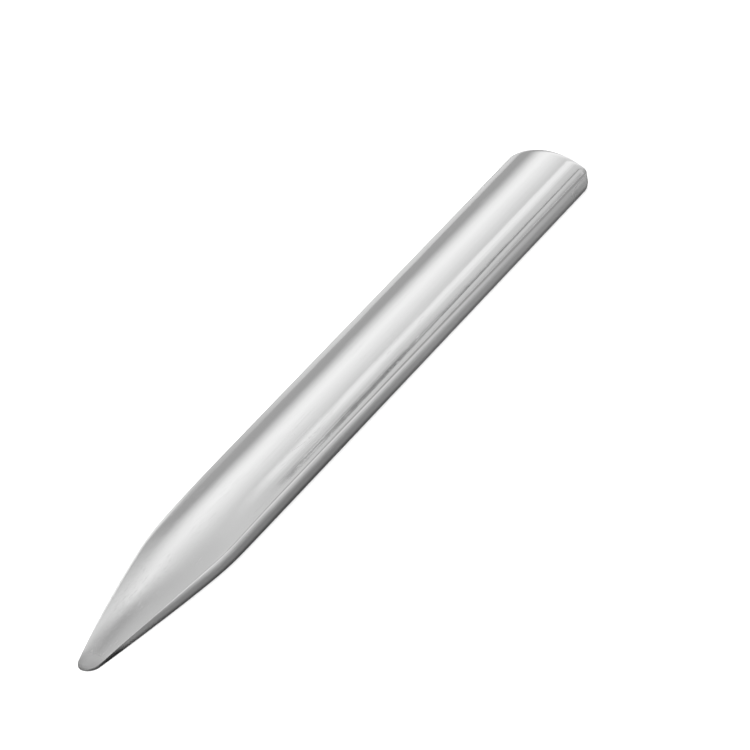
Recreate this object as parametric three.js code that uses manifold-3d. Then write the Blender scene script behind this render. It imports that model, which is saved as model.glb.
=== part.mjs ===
// A stainless-steel bone folder: one strip of sheet pressed into an arched channel that
// narrows and flattens to a round, thin point. Millimetres, +Z up. It lies on the edges of
// its two side walls, convex side up, with the point at -Y and the square butt end at +Y.
// The origin is under the middle of the blade, on the surface it lies on.
import * as THREE from 'three';
import { mergeVertices } from 'three/addons/utils/BufferGeometryUtils.js';
import Module from 'manifold-3d';

const wasm = await Module();
wasm.setup();

// Driving dimensions
const LENGTH = 150;
const WIDTH = 15;
const CROWN_HEIGHT = 6; // top of the arch above the side walls' edges
const WALL_HEIGHT = 3.4; // side wall, up to where the arch would meet it without a fillet
const FILLET = 1; // outer radius between the arch and the side wall
const SHEET = 1.2; // thickness of the strip
const FOOT_CORNER = 2; // radius of the walls' lower corners at the butt

// The pointed end
const NOSE_RADIUS = 1.95;
const NOSE_THICKNESS = 0.8;
const NOSE_ROUND = 0.5; // how far back from the tip the nose is rounded over
const POINT_HALF_ANGLE = THREE.MathUtils.degToRad(10.4);
const SIDE_BULGE = 0.25; // how far the middle of a tapered side swells past a straight line
const CROWN_RISE = 52; // distance from the tip to where the arch has its full height
const CROWN_CURVE = 2; // 1 is a straight rise, more levels out earlier and more softly
const SHOULDER_BLEND = 0.5; // how softly the tapered sides run into the straight ones

// Fineness of the mesh
const STATIONS = 64; // cross-sections along the blade
const STATION_CROWDING = 1.7; // more than 1 crowds the sections towards the tip
const ARC_POINTS = 18;
const FILLET_POINTS = 5;

const HALF_WIDTH = WIDTH / 2;
const TANGENT_Y = NOSE_RADIUS * (1 - Math.sin(POINT_HALF_ANGLE));
const TANGENT_X = NOSE_RADIUS * Math.cos(POINT_HALF_ANGLE);
const SHOULDER_Y = TANGENT_Y + (HALF_WIDTH - TANGENT_X) / Math.tan(POINT_HALF_ANGLE);

// The smaller of a and b, rounded over where they cross.
function softMin(a, b, blend) {
  return (a + b - Math.sqrt((a - b) ** 2 + blend ** 2)) / 2;
}

// Half the blade's width at a distance from the tip: a round nose, then sides that open out.
function halfWidthAt(fromTip) {
  if (fromTip < TANGENT_Y) {
    return Math.sqrt(NOSE_RADIUS ** 2 - (NOSE_RADIUS - fromTip) ** 2);
  }
  const along = Math.min((fromTip - TANGENT_Y) / (SHOULDER_Y - TANGENT_Y), 1);
  const bulge = 4 * SIDE_BULGE * along * (1 - along);
  const side = TANGENT_X + (fromTip - TANGENT_Y) * Math.tan(POINT_HALF_ANGLE) + bulge;
  return softMin(side, HALF_WIDTH, SHOULDER_BLEND * along);
}

// Height of the crown at a distance from the tip: a rise that levels out without a kink.
function crownAt(fromTip) {
  const remaining = Math.max(1 - fromTip / CROWN_RISE, 0);
  const squareNose = CROWN_HEIGHT - (CROWN_HEIGHT - NOSE_THICKNESS) * remaining ** CROWN_CURVE;
  const intoNose = Math.max(1 - fromTip / NOSE_ROUND, 0);
  return squareNose * Math.sqrt(1 - intoNose ** 2);
}

// The arch in cross-section: straight walls up from the base, a fillet on each side and one
// shallow arc between them.
function archShape(halfWidth, crown, wall, fillet, base) {
  const rise = crown - wall;
  const radius = (halfWidth ** 2 + rise ** 2) / (2 * rise);
  const arcCentre = crown - radius;
  const filletX = halfWidth - fillet;
  const filletY = arcCentre + Math.sqrt((radius - fillet) ** 2 - filletX ** 2);
  const turn = Math.atan2(filletY - arcCentre, filletX);

  const right = new THREE.EllipseCurve(filletX, filletY, fillet, fillet, 0, turn);
  const top = new THREE.EllipseCurve(0, arcCentre, radius, radius, turn, Math.PI - turn);
  const left = new THREE.EllipseCurve(-filletX, filletY, fillet, fillet, Math.PI - turn, Math.PI);
  return new THREE.Shape([
    new THREE.Vector2(-halfWidth, base),
    new THREE.Vector2(halfWidth, base),
    ...right.getPoints(FILLET_POINTS),
    ...top.getPoints(ARC_POINTS).slice(1, -1),
    ...left.getPoints(FILLET_POINTS),
  ]);
}

// Extrudes a section from the butt to the tip and lets form(x, z, fromTip) press each point
// of it into place.
function pressedStrip(shape, form) {
  const strip = new THREE.ExtrudeGeometry(shape, { depth: 1, steps: STATIONS, bevelEnabled: false });
  strip.rotateX(Math.PI / 2);
  const points = strip.attributes.position;
  for (let i = 0; i < points.count; i += 1) {
    const share = 1 + points.getY(i); // 1 at the butt, 0 at the tip
    const pressed = form(points.getX(i), points.getZ(i), share);
    points.setXYZ(i, pressed.x, pressed.y, pressed.z);
  }
  return strip;
}

function toSolid(geometry) {
  const bare = geometry.clone();
  bare.deleteAttribute('normal');
  bare.deleteAttribute('uv');
  const merged = mergeVertices(bare, 1e-5);
  return new wasm.Manifold(new wasm.Mesh({
    numProp: 3,
    vertProperties: new Float32Array(merged.attributes.position.array),
    triVerts: new Uint32Array(merged.index.array),
  }));
}

function toGeometry(solid) {
  const mesh = solid.getMesh();
  const geometry = new THREE.BufferGeometry();
  geometry.setAttribute('position', new THREE.BufferAttribute(mesh.vertProperties, 3));
  geometry.setIndex(new THREE.BufferAttribute(mesh.triVerts, 1));
  geometry.computeVertexNormals();
  return geometry;
}

// The outside of the blade, as if it were solid.
function outerForm() {
  const firstStation = 0.02; // the tip's small end face stands this far in from a true point
  const shape = archShape(HALF_WIDTH, CROWN_HEIGHT, WALL_HEIGHT, FILLET, 0);
  return pressedStrip(shape, (x, z, share) => {
    const fromTip = firstStation + (LENGTH - firstStation) * share ** STATION_CROWDING;
    return new THREE.Vector3(
      (x * halfWidthAt(fromTip)) / HALF_WIDTH,
      LENGTH * share ** STATION_CROWDING - LENGTH / 2,
      (z * crownAt(fromTip)) / CROWN_HEIGHT,
    );
  });
}

// The hollow underneath, one sheet thickness inside the outer form. It runs out where the
// crown comes down to the thickness of the sheet, so the nose is solid and flat.
function hollowForm() {
  const overrun = 1; // past the butt and below the base, so that the cut is clean
  const inside = HALF_WIDTH - SHEET;
  const ceiling = CROWN_HEIGHT - SHEET;
  const shape = archShape(inside, ceiling, WALL_HEIGHT - SHEET / 2, FILLET / 2, -overrun);
  return pressedStrip(shape, (x, z, share) => {
    const fromTip = (LENGTH + overrun) * share ** STATION_CROWDING;
    const height = (z * (crownAt(fromTip) - SHEET)) / ceiling;
    return new THREE.Vector3(
      (x * Math.max(halfWidthAt(fromTip), NOSE_RADIUS / 2)) / HALF_WIDTH,
      fromTip - LENGTH / 2,
      z < 0 ? -overrun : height,
    );
  });
}

// What is cut away to round the walls' lower corners at the butt. The outline is drawn in Y
// and Z and extruded along X.
function cornerCutter() {
  const overrun = 1;
  const butt = LENGTH / 2;
  const outline = new THREE.Shape();
  outline.moveTo(butt - FOOT_CORNER, -overrun);
  outline.lineTo(butt + overrun, -overrun);
  outline.lineTo(butt + overrun, FOOT_CORNER);
  outline.lineTo(butt, FOOT_CORNER);
  outline.absarc(butt - FOOT_CORNER, FOOT_CORNER, FOOT_CORNER, 0, -Math.PI / 2, true);
  const depth = WIDTH + 2 * overrun;
  const cutter = new THREE.ExtrudeGeometry(outline, { depth, curveSegments: 8, bevelEnabled: false });
  cutter.translate(0, 0, -depth / 2);
  return cutter.applyMatrix4(new THREE.Matrix4().makeBasis(
    new THREE.Vector3(0, 1, 0),
    new THREE.Vector3(0, 0, 1),
    new THREE.Vector3(1, 0, 0),
  ));
}

const polishedSteel = new THREE.MeshStandardMaterial({
  name: 'polished_steel',
  color: 0xc9c9c9,
  roughness: 0.22,
  metalness: 1,
});

function folderBlade() {
  const channel = toSolid(outerForm()).subtract(toSolid(hollowForm()));
  const solid = channel.subtract(toSolid(cornerCutter()));
  const blade = new THREE.Mesh(toGeometry(solid), polishedSteel);
  blade.name = 'folder_blade';
  return blade;
}

const boneFolder = new THREE.Group();
boneFolder.name = 'bone_folder';
boneFolder.add(folderBlade());

export default boneFolder;
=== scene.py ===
# %% [markdown]
# # A polished steel bone folder
#
# A bone folder creases paper and leather. This one is a single strip of stainless steel: cut to
# a point, pressed into an arch and polished until it mirrors the room. There is no handle, rivet
# or seam, so there is only one piece to make, and everything depends on two things: how smoothly
# its skin curves, and what stands around it to be mirrored.
#
# The measured model is loaded first. It is never moved or changed, and the finished piece is made
# inside its box.

# %% Load the measured model
import math

import bpy
from mathutils import Matrix, Vector


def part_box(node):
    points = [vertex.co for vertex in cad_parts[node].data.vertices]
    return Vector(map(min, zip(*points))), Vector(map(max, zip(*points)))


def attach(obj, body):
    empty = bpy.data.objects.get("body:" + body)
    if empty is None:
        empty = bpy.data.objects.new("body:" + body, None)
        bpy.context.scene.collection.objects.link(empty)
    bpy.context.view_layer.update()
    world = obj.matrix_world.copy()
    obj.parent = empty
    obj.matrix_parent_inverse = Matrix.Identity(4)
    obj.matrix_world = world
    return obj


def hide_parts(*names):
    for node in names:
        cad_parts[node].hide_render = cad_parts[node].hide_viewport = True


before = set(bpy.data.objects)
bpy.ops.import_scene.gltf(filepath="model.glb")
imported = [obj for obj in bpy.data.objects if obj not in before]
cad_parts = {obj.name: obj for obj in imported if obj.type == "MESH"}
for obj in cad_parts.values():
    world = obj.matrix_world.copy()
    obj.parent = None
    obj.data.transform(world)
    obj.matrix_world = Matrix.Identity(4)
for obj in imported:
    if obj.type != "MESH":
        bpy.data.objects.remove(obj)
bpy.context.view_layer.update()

MM = 0.001

blade_low, blade_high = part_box("folder_blade")
blade_size = blade_high - blade_low
print("blade, mm:", [round(side / MM, 2) for side in blade_size])

# %% [markdown]
# ## The camera
#
# The folder is seen from its right, a little above, along its point. A long lens far away keeps
# the two sides almost parallel, and tilting the camera stands the blade up across the picture.
# The camera is placed by three directions: towards the camera, to its right and upwards.

# %% Camera
CAMERA_AZIMUTH = math.radians(35.66)
CAMERA_ELEVATION = math.radians(31.71)
CAMERA_ROLL = math.radians(-10.25)
CAMERA_DISTANCE = 1.2  # metres
LENS = 357.3  # focal length in millimetres
AIM_HEIGHT = 2 * MM  # height of the point at the blade's middle that the aim starts from
AIM_RIGHT = 7.9 * MM
AIM_UP = 4.73 * MM
NEAR_CLIP = 0.05


def camera_directions(azimuth, elevation, roll):
    back = Vector((
        math.sin(azimuth) * math.cos(elevation),
        -math.cos(azimuth) * math.cos(elevation),
        math.sin(elevation),
    ))
    level = Vector((math.cos(azimuth), math.sin(azimuth), 0))
    plumb = back.cross(level)
    right = level * math.cos(roll) + plumb * math.sin(roll)
    return back, right, back.cross(right)


def add_camera():
    back, right, up = camera_directions(CAMERA_AZIMUTH, CAMERA_ELEVATION, CAMERA_ROLL)
    middle = (blade_low + blade_high) / 2
    middle.z = AIM_HEIGHT
    place = middle + back * CAMERA_DISTANCE + right * AIM_RIGHT + up * AIM_UP
    turn = Matrix((right, up, back)).transposed().to_4x4()
    camera = bpy.data.objects.new("camera", bpy.data.cameras.new("camera"))
    camera.matrix_world = Matrix.Translation(place) @ turn
    camera.data.lens = LENS
    camera.data.clip_start = NEAR_CLIP
    bpy.context.scene.collection.objects.link(camera)
    bpy.context.scene.camera = camera
    return camera


camera = add_camera()
print("camera at, mm:", [round(c / MM) for c in camera.matrix_world.translation])

# %% [markdown]
# ## Writing shaders as sums
#
# A material is a net of small nodes, which is hard to read as code. Wrapping a socket in a class
# with the arithmetic signs lets a mask be written as `1 - mask * 0.5`, and each sign adds its
# Math node. Every other node comes from one method, `node`, which takes the node's type, its
# settings and what goes into its sockets.

# %% A class for shader values


class Value:
    """A socket that can be added, multiplied and so on. Each operation adds one Math node."""

    def __init__(self, tree, socket):
        self.tree = tree
        self.socket = socket

    def math(self, operation, *others):
        node = self.tree.node("ShaderNodeMath", {"operation": operation})
        for slot, part in enumerate((self, *others)):
            self.tree.plug(node.inputs[slot], part)
        return Value(self.tree, node.outputs[0])

    def __add__(self, other):
        return self.math("ADD", other)

    def __sub__(self, other):
        return self.math("SUBTRACT", other)

    def __rsub__(self, other):
        return Value.constant(self.tree, other).math("SUBTRACT", self)

    def __mul__(self, other):
        return self.math("MULTIPLY", other)

    def __truediv__(self, other):
        return self.math("DIVIDE", other)

    __radd__ = __add__
    __rmul__ = __mul__

    @staticmethod
    def constant(tree, number):
        node = tree.node("ShaderNodeValue")
        node.outputs[0].default_value = number
        return Value(tree, node.outputs[0])

    def step(self, low, high):
        """0 below low, 1 above high, smooth in between. low may be the larger."""
        node = self.tree.node(
            "ShaderNodeMapRange",
            {"interpolation_type": "SMOOTHSTEP"},
            {"Value": self, "From Min": low, "From Max": high},
        )
        return Value(self.tree, node.outputs["Result"])


class Shader:
    """The nodes of a material or of the world."""

    def __init__(self, node_tree):
        self.nodes = node_tree.nodes
        self.links = node_tree.links
        self.nodes.clear()

    def plug(self, socket, part):
        if isinstance(part, Value):
            part = part.socket
        if isinstance(part, bpy.types.NodeSocket):
            self.links.new(part, socket)
        else:
            socket.default_value = part

    def node(self, kind, settings=None, inputs=None):
        node = self.nodes.new(kind)
        for name, setting in (settings or {}).items():
            if name == "stops":
                set_stops(node.color_ramp, setting)
            else:
                setattr(node, name, setting)
        for name, part in (inputs or {}).items():
            self.plug(node.inputs[name], part)
        return node

    def value(self, node, output=0):
        return Value(self, node.outputs[output])

    def scaled(self, vector, scale):
        node = self.node("ShaderNodeVectorMath", {"operation": "MULTIPLY"}, {0: vector, 1: scale})
        return node.outputs[0]

    def noise(self, vector, scale, detail=2.0, roughness=0.5):
        node = self.node(
            "ShaderNodeTexNoise",
            {},
            {"Vector": self.scaled(vector, scale), "Scale": 1.0, "Detail": detail, "Roughness": roughness},
        )
        return self.value(node, "Fac")


def set_stops(ramp, stops):
    """Gives a colour ramp its stops, each a position from 0 to 1 and a grey level."""
    while len(ramp.elements) > 1:
        ramp.elements.remove(ramp.elements[-1])
    for index, (position, grey) in enumerate(stops):
        element = ramp.elements[0] if index == 0 else ramp.elements.new(position)
        element.position = position
        element.color = (grey, grey, grey, 1)


print("shader helpers ready")

# %% [markdown]
# ## The table
#
# A wide pale sheet of card. Its colour is plain and it isn't shiny: it only has to be bright, to
# catch the shadow that shows where the folder rests, and to be mirrored in the low parts of the
# steel.

# %% Floor
FLOOR_SIZE = 6.0  # metres
FLOOR_GREY = 0.9
FLOOR_ROUGHNESS = 0.9
FLOOR_SHINE = 0.1


def card_material():
    material = bpy.data.materials.new("pale_card")
    material.use_nodes = True
    shader = Shader(material.node_tree)
    body = shader.node(
        "ShaderNodeBsdfPrincipled",
        {},
        {
            "Base Color": (FLOOR_GREY, FLOOR_GREY, FLOOR_GREY, 1),
            "Roughness": FLOOR_ROUGHNESS,
            "Specular IOR Level": FLOOR_SHINE,
        },
    )
    shader.node("ShaderNodeOutputMaterial", {}, {"Surface": body.outputs["BSDF"]})
    return material


def add_floor():
    bpy.ops.object.select_all(action="DESELECT")
    bpy.ops.mesh.primitive_plane_add(size=FLOOR_SIZE, location=(0, 0, 0))
    floor = bpy.context.object
    floor.name = "floor"
    floor.data.materials.append(card_material())


add_floor()
print("floor:", FLOOR_SIZE, "m square")

# %% [markdown]
# ## The light tent
#
# Polished steel has hardly any colour of its own: it is a curved mirror, and its stripes are
# pictures of the lamps. Products like this are lit in a tent of white cloth with long lamps laid
# parallel to them, so that every stripe runs the length of the blade. The tent here is the world
# itself, in three parts. Each is a list of brightness against the angle around the blade's long
# axis, measured from straight overhead towards the right. The first is seen in the straight
# part, which mirrors the two ends of the tent: a broad lamp on the left that fades slowly across
# the top. The next is softer, and the sloping point mirrors it. The third is a grey ring between
# them that the nose mirrors. Two things hang at the far ends only: a strip lamp just past the top,
# sharp on its near side, and beyond it a thin dark gap between two cloths. They draw the bright
# stripe and the dark line that run up the blade and die away towards its point. Low on the
# right, the very ends of the tent are dimmer. The end behind the camera is dimmer all over, with
# one lamp low on the right, which draws a stripe when the blade is seen from its butt. The camera
# itself sees none of this but an even pale backdrop.

# %% Tent
TENT_ENDS = (
    # angle from overhead in degrees, left is negative, and brightness
    (-180, 0.60),
    (-96, 0.50),
    (-68, 0.51),
    (-56, 0.93),
    (-46, 1.27),
    (-36, 1.37),
    (-20, 1.18),
    (-1.5, 0.90),
    (18, 0.88),
    (50, 0.88),
    (90, 0.86),
    (180, 0.60),
)
TENT_SIDES = (
    (-180, 0.90),
    (-100, 0.94),
    (-60, 1.02),
    (-36, 1.25),
    (-18, 1.02),
    (-4, 0.86),
    (6, 0.80),
    (25, 0.84),
    (40, 0.92),
    (90, 0.95),
    (180, 0.90),
)
TENT_RING = (
    (-180, 0.60),
    (-60, 0.48),
    (-20, 0.52),
    (5, 0.72),
    (25, 0.80),
    (180, 0.78),
)
# Angles are in degrees, as above. Reaches say how far towards an end of the tent something is: 0 is
# straight out to the side, 1 is the far end and -1 the end behind the camera.
ENDS_FROM, ENDS_FULL = 0.51, 0.63
RING_INNER, RING_FULL, RING_FADES, RING_OUTER = 0.18, 0.30, 0.41, 0.51
STRIP_NEAR, STRIP_SHARP, STRIP_SOFT, STRIP_FAR = -1.0, 0.6, 5, 17
STRIP_GLOW = 0.42
STRIP_FROM, STRIP_FULL = 0.61, 0.70
GAP_ANGLE, GAP_HALF_WIDTH, GAP_EDGE = 24, 2.4, 2.8
GAP_LEVEL, GAP_SLANT = 0.685, 165  # the reach where it is at GAP_ANGLE, and degrees for each reach
GAP_DARKNESS = 0.85
GAP_FROM, GAP_FULL, GAP_WANES, GAP_FAINT = 0.667, 0.692, 0.703, 0.716
GAP_LOSS = 0.45
LOW_RIGHT_TOP, LOW_RIGHT_BOTTOM = 45, 80
LOW_RIGHT_FROM, LOW_RIGHT_FULL = 0.703, 0.716
LOW_RIGHT_DIMMING = 0.35
FRONT_FROM, FRONT_FULL = -0.2, -0.4
FRONT_DIMMING = 0.25
FRONT_LAMP_NEAR, FRONT_LAMP_FULL_NEAR, FRONT_LAMP_FULL_FAR, FRONT_LAMP_FAR = 24, 40, 56, 80
FRONT_LAMP_FROM, FRONT_LAMP_FULL = -0.54, -0.63
FRONT_LAMP_GLOW = 0.75
BACKDROP_GLOW = 0.95


def light_the_tent():
    world = bpy.data.worlds.new("light_tent")
    bpy.context.scene.world = world
    world.use_nodes = True
    shader = Shader(world.node_tree)
    direction = shader.node("ShaderNodeTexCoord").outputs["Generated"]
    parts = shader.node("ShaderNodeSeparateXYZ", {}, {"Vector": direction})
    across, along, upward = (shader.value(parts, axis) for axis in "XYZ")
    angle = across.math("ARCTAN2", upward) * (180 / math.pi)
    ends, sides, ring = (
        shader.value(
            shader.node(
                "ShaderNodeValToRGB",
                {"stops": [((place + 180) / 360, grey) for place, grey in tent]},
                {"Fac": angle / 360 + 0.5},
            )
        )
        for tent in (TENT_ENDS, TENT_SIDES, TENT_RING)
    )
    reach = along.math("ABSOLUTE")
    at_ends = reach.step(ENDS_FROM, ENDS_FULL).math("MAXIMUM", reach.step(RING_FULL, RING_INNER))
    in_ring = reach.step(RING_INNER, RING_FULL) * reach.step(RING_OUTER, RING_FADES)
    from_gap = (angle - GAP_ANGLE - (reach - GAP_LEVEL) * GAP_SLANT).math("ABSOLUTE")
    gap_wanes = along.step(GAP_WANES, GAP_FAINT)
    gap_reach = along.step(GAP_FROM, GAP_FULL) * (1 - gap_wanes * GAP_LOSS)
    in_gap = from_gap.step(GAP_HALF_WIDTH + GAP_EDGE, GAP_HALF_WIDTH) * gap_reach
    strip = angle.step(STRIP_NEAR, STRIP_SHARP) * angle.step(STRIP_FAR, STRIP_SOFT) * STRIP_GLOW
    cloth = sides + (ends - sides) * at_ends + strip * along.step(STRIP_FROM, STRIP_FULL)
    low_right = angle.step(LOW_RIGHT_TOP, LOW_RIGHT_BOTTOM)
    low_right = low_right * reach.step(LOW_RIGHT_FROM, LOW_RIGHT_FULL)
    front = along.step(FRONT_FROM, FRONT_FULL)
    cloth = cloth * (1 - low_right * LOW_RIGHT_DIMMING) * (1 - front * FRONT_DIMMING)
    near_side = angle.step(FRONT_LAMP_NEAR, FRONT_LAMP_FULL_NEAR)
    far_side = angle.step(FRONT_LAMP_FAR, FRONT_LAMP_FULL_FAR)
    front_lamp = near_side * far_side * along.step(FRONT_LAMP_FROM, FRONT_LAMP_FULL)
    cloth = cloth + front_lamp * FRONT_LAMP_GLOW
    glow = (cloth + (ring - cloth) * in_ring) * (1 - in_gap * GAP_DARKNESS)
    in_view = shader.value(shader.node("ShaderNodeLightPath"), "Is Camera Ray")
    glow = glow + (BACKDROP_GLOW - glow) * in_view
    background = shader.node(
        "ShaderNodeBackground", {}, {"Color": (1, 1, 1, 1), "Strength": glow}
    )
    shader.node("ShaderNodeOutputWorld", {}, {"Surface": background.outputs["Background"]})


light_the_tent()
bpy.context.scene.view_settings.view_transform = "Standard"
print("tent with", len(TENT_ENDS) + len(TENT_SIDES) + len(TENT_RING), "stops")

# %% [markdown]
# ## The lamp over the table
#
# The tent alone leaves the table grey. A wide lamp straight above brightens it to white and, since
# it is overhead, throws no shadow past the foot of the blade: what stays dark is only the narrow
# line of contact. The lamp is kept out of the steel, whose stripes belong to the tent.

# %% Overhead lamp
LAMP_HEIGHT = 1.8  # metres
LAMP_SIZE = 2.4  # metres
LAMP_POWER = 40.0  # watts


def add_overhead_lamp():
    lamp = bpy.data.lights.new("overhead_lamp", "AREA")
    lamp.size = LAMP_SIZE
    lamp.energy = LAMP_POWER
    holder = bpy.data.objects.new("overhead_lamp", lamp)
    holder.location = (0, 0, LAMP_HEIGHT)
    holder.visible_camera = False
    holder.visible_glossy = False
    bpy.context.scene.collection.objects.link(holder)


add_overhead_lamp()
print("overhead lamp, W:", LAMP_POWER)

# %% [markdown]
# ## The section of the blade
#
# Cut across, the blade is an arch on two short legs: a shallow crown, a rounded corner on each
# side, and a straight wall down to the table. A function gives the point at any share of the way
# from the crown to the foot of the wall, so that the same columns of the mesh follow the corner
# along the whole blade.

# %% Section
CROWN = blade_size.z
HALF_WIDTH = blade_size.x / 2
LENGTH = blade_size.y
SHEET = 1.2 * MM
WALL = 3.4 * MM
CROWN_END = 0.60  # share of the way down that is crown
CORNER_END = 0.76  # share of the way down that is crown and corner


def section_point(share, half_width, crown, wall, corner):
    """x and z of the section at a share from 0, the crown, to 1, the foot of the wall."""
    rise = crown - wall
    radius = (half_width ** 2 + rise ** 2) / (2 * rise)
    centre = crown - radius
    corner_x = half_width - corner
    corner_z = centre + math.sqrt((radius - corner) ** 2 - corner_x ** 2)
    crown_turn = math.atan2(corner_x, corner_z - centre)
    if share < CROWN_END:
        turn = crown_turn * share / CROWN_END
        return radius * math.sin(turn), centre + radius * math.cos(turn)
    if share < CORNER_END:
        part = (share - CROWN_END) / (CORNER_END - CROWN_END)
        turn = crown_turn + (math.pi / 2 - crown_turn) * part
        return corner_x + corner * math.sin(turn), corner_z + corner * math.cos(turn)
    return half_width, corner_z * (1 - (share - CORNER_END) / (1 - CORNER_END))


print("crown, mm:", round(CROWN / MM, 2), "wall, mm:", round(WALL / MM, 2))

# %% [markdown]
# ## The pointed end
#
# Over the last fifth of its length the blade narrows to a round nose. Its crown comes down over the
# last third, until only a thin flat nose is left. Both changes are written as functions of the
# distance from the tip. The crown rises along a curve that levels out without a kink, and a soft
# minimum rounds the shoulders, where the tapered sides meet the straight ones, as polishing does.
# The corner between crown and wall is tight along the point, opens out towards the butt, and is
# widest on the nose, which is rounded over so that it glides on paper.

# %% Taper
NOSE_RADIUS = 1.95 * MM
NOSE_THICKNESS = 0.8 * MM
NOSE_ROUND = 0.5 * MM
POINT_HALF_ANGLE = math.radians(10.4)
SIDE_BULGE = 0.25 * MM
SHOULDER_BLEND = 0.5 * MM
CROWN_RISE = 52 * MM
CROWN_CURVE = 2
CORNER_ON_NOSE = 2.2 * MM
CORNER_ON_POINT = 0.45 * MM
CORNER_AT_BUTT = 1.9 * MM
NOSE_ENDS = 7 * MM
TANGENT_Y = NOSE_RADIUS * (1 - math.sin(POINT_HALF_ANGLE))
TANGENT_X = NOSE_RADIUS * math.cos(POINT_HALF_ANGLE)
SHOULDER_Y = TANGENT_Y + (HALF_WIDTH - TANGENT_X) / math.tan(POINT_HALF_ANGLE)


def soft_min(a, b, blend):
    return (a + b - math.hypot(a - b, blend)) / 2


def ease(value, low, high):
    """0 at low and 1 at high, with a smooth start and end."""
    part = min(max((value - low) / (high - low), 0), 1)
    return part * part * (3 - 2 * part)


def half_width_at(from_tip):
    if from_tip < TANGENT_Y:
        return math.sqrt(NOSE_RADIUS ** 2 - (NOSE_RADIUS - from_tip) ** 2)
    along = min((from_tip - TANGENT_Y) / (SHOULDER_Y - TANGENT_Y), 1)
    bulge = 4 * SIDE_BULGE * along * (1 - along)
    side = TANGENT_X + (from_tip - TANGENT_Y) * math.tan(POINT_HALF_ANGLE) + bulge
    return soft_min(side, HALF_WIDTH, SHOULDER_BLEND * along)


def crown_at(from_tip):
    remaining = max(1 - from_tip / CROWN_RISE, 0)
    square_nose = CROWN - (CROWN - NOSE_THICKNESS) * remaining ** CROWN_CURVE
    into_nose = max(1 - from_tip / NOSE_ROUND, 0)
    return square_nose * math.sqrt(1 - into_nose ** 2)


def corner_at(from_tip):
    nose = 1 - ease(from_tip, 0, NOSE_ENDS)
    butt = ease(from_tip, SHOULDER_Y, LENGTH)
    return CORNER_ON_POINT + (CORNER_ON_NOSE - CORNER_ON_POINT) * nose + (
        CORNER_AT_BUTT - CORNER_ON_POINT
    ) * butt


print("shoulder at, mm from the tip:", round(SHOULDER_Y / MM, 1))

# %% [markdown]
# ## The flat blank
#
# The real folder starts as a flat blank of sheet, has its edges rounded, and is then bent in a
# press. It is made here in the same order. A grid as long as the blade and as wide as its skin
# when laid flat is extruded by the sheet's thickness. Its rows are set out first, close together
# at the tip and at the butt, where the shape changes fastest.

# %% Flat blank
COLUMNS = 96
ROWS = 320
HALF_BLANK = 10.8 * MM
TIP_CROWDING = 1.5
BUTT_CROWDING = 1.1


def row_place(share):
    """Distance from the tip of the row at a share of the way to the butt."""
    return LENGTH * share ** TIP_CROWDING * (1 + BUTT_CROWDING * (1 - share))


def flat_blank():
    bpy.ops.object.select_all(action="DESELECT")
    bpy.ops.mesh.primitive_grid_add(
        x_subdivisions=COLUMNS,
        y_subdivisions=ROWS,
        size=1,
        location=(0, 0, 0),
    )
    blank = bpy.context.object
    blank.name = "polished_blade"
    for vertex in blank.data.vertices:
        vertex.co.x *= 2 * HALF_BLANK
        vertex.co.y = row_place(vertex.co.y + 0.5)
    bpy.ops.object.mode_set(mode="EDIT")
    bpy.ops.mesh.select_all(action="SELECT")
    bpy.ops.mesh.extrude_region_move(TRANSFORM_OT_translate={"value": (0, 0, SHEET)})
    bpy.ops.mesh.select_all(action="SELECT")
    bpy.ops.mesh.normals_make_consistent(inside=False)
    bpy.ops.object.mode_set(mode="OBJECT")
    return blank


blade = flat_blank()
print("blank, mm:", [round(side / MM, 1) for side in blade.dimensions])

# %% [markdown]
# ## Rounding its edges
#
# A polished tool has no sharp edges: the wheel takes them off. They are bevelled while the blank
# is flat, because then each is simply a straight line at the rim: the two long sides and the butt,
# on the top and on the underside. The end at the tip is left, since the press closes it to almost
# nothing. Each rounded edge later draws a thin bright line.

# %% Round the rim
EDGE_ROUND = 0.16 * MM
EDGE_STEPS = 4


def select_rim(blank):
    """Selects the long and butt edges of the flat blank, top and underside, and the corners."""
    mesh = blank.data
    near = 0.001 * MM
    for part in (*mesh.vertices, *mesh.edges, *mesh.polygons):
        part.select = False
    for edge in mesh.edges:
        a, b = (mesh.vertices[index].co for index in edge.vertices)
        on_side = all(abs(abs(end.x) - HALF_BLANK) < near for end in (a, b))
        on_butt = all(abs(end.y - LENGTH) < near for end in (a, b))
        upright = abs(a.z - b.z) > near
        if (on_side or on_butt) and (not upright or (on_side and on_butt)):
            edge.select = True


bpy.ops.object.mode_set(mode="EDIT")
bpy.ops.mesh.select_mode(type="EDGE")
bpy.ops.object.mode_set(mode="OBJECT")
select_rim(blade)
bpy.ops.object.mode_set(mode="EDIT")
bpy.ops.mesh.bevel(offset=EDGE_ROUND, segments=EDGE_STEPS, affect="EDGES", clamp_overlap=True)
bpy.ops.object.mode_set(mode="OBJECT")
print("rounded blank:", len(blade.data.vertices), "points")

# %% [markdown]
# ## Pressing
#
# Now every point of the blank moves to its place in the pressed shape. A point's distance from the
# middle line says where it comes to lie on the section, and its height in the sheet says how far
# it lies between two sections: the underside follows one that is a sheet thickness inside the
# other. The hollow underneath runs out towards the nose, which is solid and flat. At the butt the
# lower corners of the walls are cut round, so the foot lifts off the table there, and the wheel
# has rolled the outer skin over a little before it ends, which catches the light as a thin rim.

# %% Press it
FIRST_ROW = 0.02 * MM
FOOT_CORNER = 2 * MM
BUTT_ROLL = 0.3 * MM
BUTT_ROLL_LENGTH = 1.2 * MM
SMOOTH_UP_TO = math.radians(35)


def roll_at(from_tip):
    """How far the outer skin has sunk where it is rolled over at the butt."""
    into_roll = max(from_tip - (LENGTH - BUTT_ROLL_LENGTH), 0) / BUTT_ROLL_LENGTH
    return BUTT_ROLL * (1 - math.sqrt(max(1 - into_roll ** 2, 0)))


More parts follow.
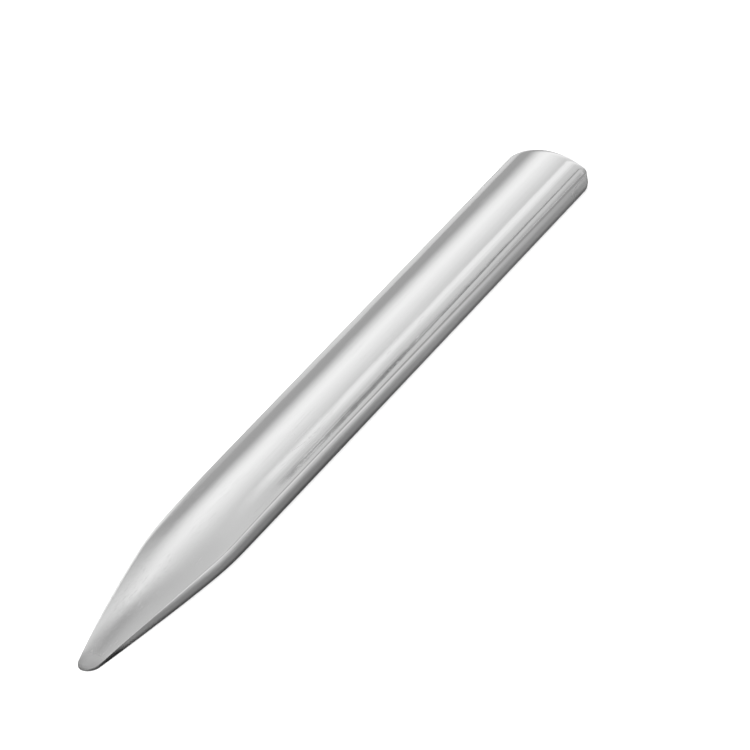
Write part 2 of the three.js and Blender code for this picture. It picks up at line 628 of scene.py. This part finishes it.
def foot_at(from_tip):
    """Height of the wall's foot: on the table, and rounded up at the butt."""
    into_corner = from_tip - (LENGTH - FOOT_CORNER)
    if into_corner <= 0:
        return 0
    return FOOT_CORNER - math.sqrt(max(FOOT_CORNER ** 2 - into_corner ** 2, 0))


def skin_point(share, from_tip, inside):
    """x and z on the outer skin, or on the skin one sheet thickness inside it."""
    crown = crown_at(from_tip)
    corner = corner_at(from_tip)
    half_width = half_width_at(from_tip)
    if inside:
        ceiling = CROWN - SHEET
        x, z = section_point(share, HALF_WIDTH - SHEET, ceiling, WALL - SHEET / 2, corner / 2)
        z *= max(crown - SHEET, 0) / ceiling
    else:
        x, z = section_point(share, HALF_WIDTH, CROWN, WALL, corner)
        z *= (crown - roll_at(from_tip)) / CROWN
        half_width -= roll_at(from_tip)
    lift = foot_at(from_tip) * ease(share, CROWN_END, 1)
    return x * half_width / HALF_WIDTH, max(z, 0) + lift


def press(point):
    """Where a point of the flat blank ends up."""
    share = min(abs(point.x) / HALF_BLANK, 1)
    side = math.copysign(1, point.x)
    from_tip = min(max(point.y, FIRST_ROW), LENGTH)
    depth = 1 - point.z / SHEET
    outer_x, outer_z = skin_point(share, from_tip, False)
    inner_x, inner_z = skin_point(share, from_tip, True)
    x = outer_x + (inner_x - outer_x) * depth
    z = outer_z + (inner_z - outer_z) * depth
    return Vector((side * x, blade_low.y + point.y, z))


for vertex in blade.data.vertices:
    vertex.co = press(vertex.co)
blade.data.update()
bpy.ops.object.shade_smooth_by_angle(angle=SMOOTH_UP_TO)
print("pressed, mm:", [round(side / MM, 2) for side in blade.dimensions])
print("blade faces:", len(blade.data.polygons))

# %% [markdown]
# ## Painted dark reflections
#
# A mirror on a white table turns white where it faces the table, and its edge gets lost. So black
# sheets that only the mirror sees are laid on the table, to paint dark reflections. One lies along
# the foot of the right wall and paints the reflection of a contact shadow there: it is darkest
# beside the steel and lets more of the table through further out. A wide one on the left darkens
# the far rim, and two small round ones lie at the nose and behind the butt.
# Cycles can hide an object from the camera and keep it in reflections, so the sheets throw no
# shadow and never show. A sheet is a grid with its points moved, like the blade, and its own UV
# map says how far across it a point is.

# %% Painted dark reflections
PAINTED_REFLECTION_LIFT = 0.05 * MM
PAINTED_REFLECTION_ROWS = 240


def painted_reflection_material(name, opacity):
    """A painted dark reflection: black seen only in mirrors, as dense as opacity says. opacity takes the
    shader and two Values.
    """
    material = bpy.data.materials.new(name)
    material.use_nodes = True
    shader = Shader(material.node_tree)
    own_map = shader.node("ShaderNodeUVMap").outputs["UV"]
    across = shader.node("ShaderNodeSeparateXYZ", {}, {"Vector": own_map})
    place = shader.node("ShaderNodeTexCoord").outputs["Object"]
    along = shader.node("ShaderNodeSeparateXYZ", {}, {"Vector": place})
    dense = opacity(shader.value(across, "X"), shader.value(along, "Y"))
    clear = shader.node("ShaderNodeBsdfTransparent")
    # black that only mirrors see: the colour of the painted dark reflection
    dark = shader.node("ShaderNodeEmission", {}, {"Color": (0, 0, 0, 1)})
    mixed = shader.node(
        "ShaderNodeMixShader",
        {},
        {"Fac": dense, 1: clear.outputs["BSDF"], 2: dark.outputs["Emission"]},
    )
    shader.node("ShaderNodeOutputMaterial", {}, {"Surface": mixed.outputs["Shader"]})
    return material


def finish_painted_reflection(mirror_only_sheet, material):
    """Gives the sheet its painted dark reflection and leaves it to be seen by mirrors only."""
    mirror_only_sheet.data.materials.append(material)
    mirror_only_sheet.visible_camera = False
    mirror_only_sheet.visible_diffuse = False
    mirror_only_sheet.visible_transmission = False
    mirror_only_sheet.visible_shadow = False


def add_painted_reflection(name, side, width, overrun, opacity):
    """A painted dark reflection along one foot, from the tip to a distance past the butt."""
    bpy.ops.object.select_all(action="DESELECT")
    bpy.ops.mesh.primitive_grid_add(
        x_subdivisions=1, y_subdivisions=PAINTED_REFLECTION_ROWS, size=1, location=(0, 0, 0)
    )
    mirror_only_sheet = bpy.context.object
    mirror_only_sheet.name = name
    end = LENGTH + overrun
    for vertex in mirror_only_sheet.data.vertices:
        from_tip = end * (vertex.co.y + 0.5)
        x = side * (half_width_at(from_tip) + width * (vertex.co.x + 0.5))
        vertex.co = (x, blade_low.y + from_tip, PAINTED_REFLECTION_LIFT)
    finish_painted_reflection(mirror_only_sheet, painted_reflection_material(name, opacity))


# %% [markdown]
# The right sheet has four parts. A dark band lies at the foot, a little less dense along the rear
# half, and a narrow darker line within it, where the wall meets the table: these two paint the
# reflection of a contact shadow in the wall. At the shoulders an even shade begins, and the rest
# grows denser towards the butt and thins out far from the blade.

# %% Right painted dark reflection
RIGHT_WIDTH = 400 * MM
RIGHT_OVERRUN = 400 * MM
RIGHT_FADES = 0.7  # share of its width where it starts to run out
FOOT_DARK, FOOT_FADES = 1.3 * MM, 3.9 * MM
FOOT_DENSITY, FOOT_LOSS = 0.75, 0.08
FOOT_LOSS_FROM, FOOT_LOSS_FULL = -20 * MM, 30 * MM
LINE_DARK, LINE_FADES = 0.3 * MM, 0.9 * MM
LINE_DENSITY = 0.14
SHADE_FROM, SHADE_FULL = -50 * MM, -36 * MM
SHADE_DENSITY = 0.24
RISE_FROM, RISE_FULL = -10 * MM, 75 * MM
RISE_DENSITY = 0.36
FAR_FROM, FAR_FULL = 2.8 * MM, 6 * MM
FAR_DENSITY, FAR_RISE = 0.35, 0.10
FAR_THINS_FROM, FAR_THINS_FULL = 20 * MM, 200 * MM
FAR_THINNING = 0.1


def right_opacity(across, along):
    distance = across * RIGHT_WIDTH
    foot_loss = along.step(FOOT_LOSS_FROM, FOOT_LOSS_FULL) * FOOT_LOSS
    # the foot band and the line below paint the reflection of a contact shadow at the right wall's foot
    foot = distance.step(FOOT_FADES, FOOT_DARK) * (FOOT_DENSITY - foot_loss)
    contact_shade_line = distance.step(LINE_FADES, LINE_DARK) * LINE_DENSITY
    rising = along.step(RISE_FROM, RISE_FULL)
    thinning = distance.step(FAR_THINS_FROM, FAR_THINS_FULL) * FAR_THINNING
    far = distance.step(FAR_FROM, FAR_FULL) * (FAR_DENSITY + rising * FAR_RISE - thinning)
    shade = along.step(SHADE_FROM, SHADE_FULL) * SHADE_DENSITY
    tail = shade + (rising * RISE_DENSITY).math("MAXIMUM", far)
    return (foot + contact_shade_line).math("MAXIMUM", tail * across.step(1.0, RIGHT_FADES))


# painted reflection of a contact shadow at the right wall's foot, and darker reflections further out
add_painted_reflection("right_painted_reflection", 1, RIGHT_WIDTH, RIGHT_OVERRUN, right_opacity)

# %% [markdown]
# The left sheet, a painted dark reflection for the left rim, reaches far out, because the left rim
# mirrors the table almost to its end. It starts behind the point, and it is less dense where the
# rear half of the blade mirrors it. A denser band lies along the whole foot.

# %% Left painted dark reflection
LEFT_WIDTH = 2900 * MM
LEFT_OVERRUN = 2900 * MM
MIRRORED_SLOPE = 0.98  # how far along the blade a mirrored line runs for each step sideways
WIDE_FROM, WIDE_FULL = -40 * MM, -10 * MM
WIDE_DENSITY, WIDE_LOSS = 0.58, 0.17
WIDE_LOSS_FROM, WIDE_LOSS_FULL = -30 * MM, 20 * MM
BAND_DARK, BAND_FADES = 5 * MM, 16 * MM
BAND_DENSITY = 0.66


def left_opacity(across, along):
    distance = across * LEFT_WIDTH
    seen_from = along - distance * MIRRORED_SLOPE
    wide_loss = seen_from.step(WIDE_LOSS_FROM, WIDE_LOSS_FULL) * WIDE_LOSS
    wide = along.step(WIDE_FROM, WIDE_FULL) * (WIDE_DENSITY - wide_loss)
    return wide.math("MAXIMUM", distance.step(BAND_FADES, BAND_DARK) * BAND_DENSITY)


# a painted dark reflection for the left rim and the left foot
add_painted_reflection("left_painted_reflection", -1, LEFT_WIDTH, LEFT_OVERRUN, left_opacity)


# %% Round painted dark reflections at the nose and the butt
ROUND_SIDES = 48
ROUND_FULL, ROUND_RUNS_OUT = 0.5, 0.9  # shares of a round flag's radius


def add_round_painted_reflection(name, place, radius, density):
    """A round painted dark reflection on the table, as dense as it gets in its middle and fading to its
    rim.
    """
    bpy.ops.object.select_all(action="DESELECT")
    bpy.ops.mesh.primitive_circle_add(
        vertices=ROUND_SIDES, radius=radius, fill_type="NGON", location=(*place, PAINTED_REFLECTION_LIFT / 2)
    )
    mirror_only_sheet = bpy.context.object
    mirror_only_sheet.name = name

    def opacity(across, along):
        sides = (across - 0.5) * 2
        ends = along / radius
        out = (sides * sides + ends * ends).math("SQRT")
        return out.step(ROUND_RUNS_OUT, ROUND_FULL) * density

    finish_painted_reflection(mirror_only_sheet, painted_reflection_material(name, opacity))


# painted dark reflections in the steel at the nose and behind the butt
add_round_painted_reflection("nose_painted_reflection", (0, blade_low.y + NOSE_RADIUS), 9 * MM, 0.75)
add_round_painted_reflection("butt_painted_reflection", (-5 * MM, blade_high.y + 4 * MM), 16 * MM, 0.7)
print("flags laid")

# %% [markdown]
# ## Polished steel
#
# Stainless steel polished on a wheel is not a perfect mirror. The press leaves its skin very
# slightly wavy, so the edges of the stripes waver. The wheel leaves fine lines along the blade.
# Handling adds scratches, most of them lengthways and a few at a slant, and fingers leave patches
# that are a little duller. The nose and the foot of the walls, which rub on paper and on the table,
# have worn to satin, and the nose holds a little grime. Heights are in millimetres and every
# pattern is laid out on the blade's own coordinates, most of them drawn out along its length.

# %% Steel
CLEAN_GREY = (0.64, 0.64, 0.64, 1)
GRIMY_GREY = (0.45, 0.45, 0.45, 1)
# How fine each pattern is across, along and up the blade, in features to the metre
GRAIN_SCALE = (5200, 42, 5200)
PATCH_SCALE = (70, 60, 70)
WAVE_SCALE = (170, 110, 170)
LINE_SCALE = (3400, 9, 3400)
FINGER_SCALE = (48, 40, 48)
WAVE_HEIGHT = 0.030
LINE_HEIGHT = 0.008
SCRATCH_DEPTH = 0.0012
LENGTHWAYS_SCRATCHES, SLANTED_SCRATCHES = 0.16, 0.13
SLANT = 0.16  # radians
# Roughness of the clean polish, and what each kind of wear adds to it
POLISH = 0.07
LINE_DULLS, FINGER_DULLS, SCRATCH_DULLS, WEAR_DULLS = 0.03, 0.035, 0.16, 0.13
# How far the wear reaches, from the tip along the blade and up from the table
NOSE_WORN, NOSE_CLEAN = 1 * MM, 11 * MM
TIP_WORN, TIP_CLEAN = 0.5 * MM, 4 * MM
FOOT_WORN, FOOT_CLEAN = 0.2 * MM, 0.9 * MM
FOOT_WEAR, TIP_WEAR = 0.6, 2
TIP_GRIME, NOSE_GRIME = 0.8, 0.2


def scratches(shader, place, amount):
    """Thin broken lines along the blade; a smaller amount leaves fewer of them."""
    grain = shader.noise(place, GRAIN_SCALE, detail=1)
    patches = shader.noise(place, PATCH_SCALE, detail=1)
    return grain.step(0.80 - amount, 0.84 - amount) * patches.step(0.45, 0.62)


def steel_material():
    material = bpy.data.materials.new("polished_steel")
    material.use_nodes = True
    shader = Shader(material.node_tree)
    place = shader.node("ShaderNodeTexCoord").outputs["Object"]
    parts = shader.node("ShaderNodeSeparateXYZ", {}, {"Vector": place})
    along, upward = shader.value(parts, "Y"), shader.value(parts, "Z")
    slanted = shader.node(
        "ShaderNodeVectorRotate", {"rotation_type": "Z_AXIS"}, {"Vector": place, "Angle": SLANT}
    )

    waves = shader.noise(place, WAVE_SCALE, detail=2)
    lines = shader.noise(place, LINE_SCALE, detail=3, roughness=0.7)
    scratched = scratches(shader, place, LENGTHWAYS_SCRATCHES).math(
        "MAXIMUM", scratches(shader, slanted.outputs["Vector"], SLANTED_SCRATCHES)
    )
    fingers = shader.noise(place, FINGER_SCALE, detail=3).step(0.52, 0.70)
    nose = along.step(blade_low.y + NOSE_CLEAN, blade_low.y + NOSE_WORN)
    tip = along.step(blade_low.y + TIP_CLEAN, blade_low.y + TIP_WORN)
    foot = upward.step(FOOT_CLEAN, FOOT_WORN)
    worn = nose.math("MAXIMUM", foot * FOOT_WEAR) + tip * TIP_WEAR

    roughness = POLISH + lines * LINE_DULLS + fingers * FINGER_DULLS
    roughness = roughness + scratched * SCRATCH_DULLS + worn * WEAR_DULLS
    # a Mix node has its factor at 0, its two colours at 6 and 7 and the mixed colour at 2
    grime = shader.node(
        "ShaderNodeMix",
        {"data_type": "RGBA"},
        {0: tip * TIP_GRIME + nose * NOSE_GRIME, 6: CLEAN_GREY, 7: GRIMY_GREY},
    )
    height = waves * WAVE_HEIGHT + lines * LINE_HEIGHT - scratched * SCRATCH_DEPTH
    bump = shader.node("ShaderNodeBump", {}, {"Strength": 1.0, "Distance": MM, "Height": height})
    body = shader.node(
        "ShaderNodeBsdfPrincipled",
        {},
        {
            "Base Color": grime.outputs[2],
            "Metallic": 1.0,
            "Roughness": roughness,
            "Normal": bump.outputs["Normal"],
        },
    )
    shader.node("ShaderNodeOutputMaterial", {}, {"Surface": body.outputs["BSDF"]})
    return material


blade.data.materials.append(steel_material())
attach(blade, "root")
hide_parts("folder_blade")
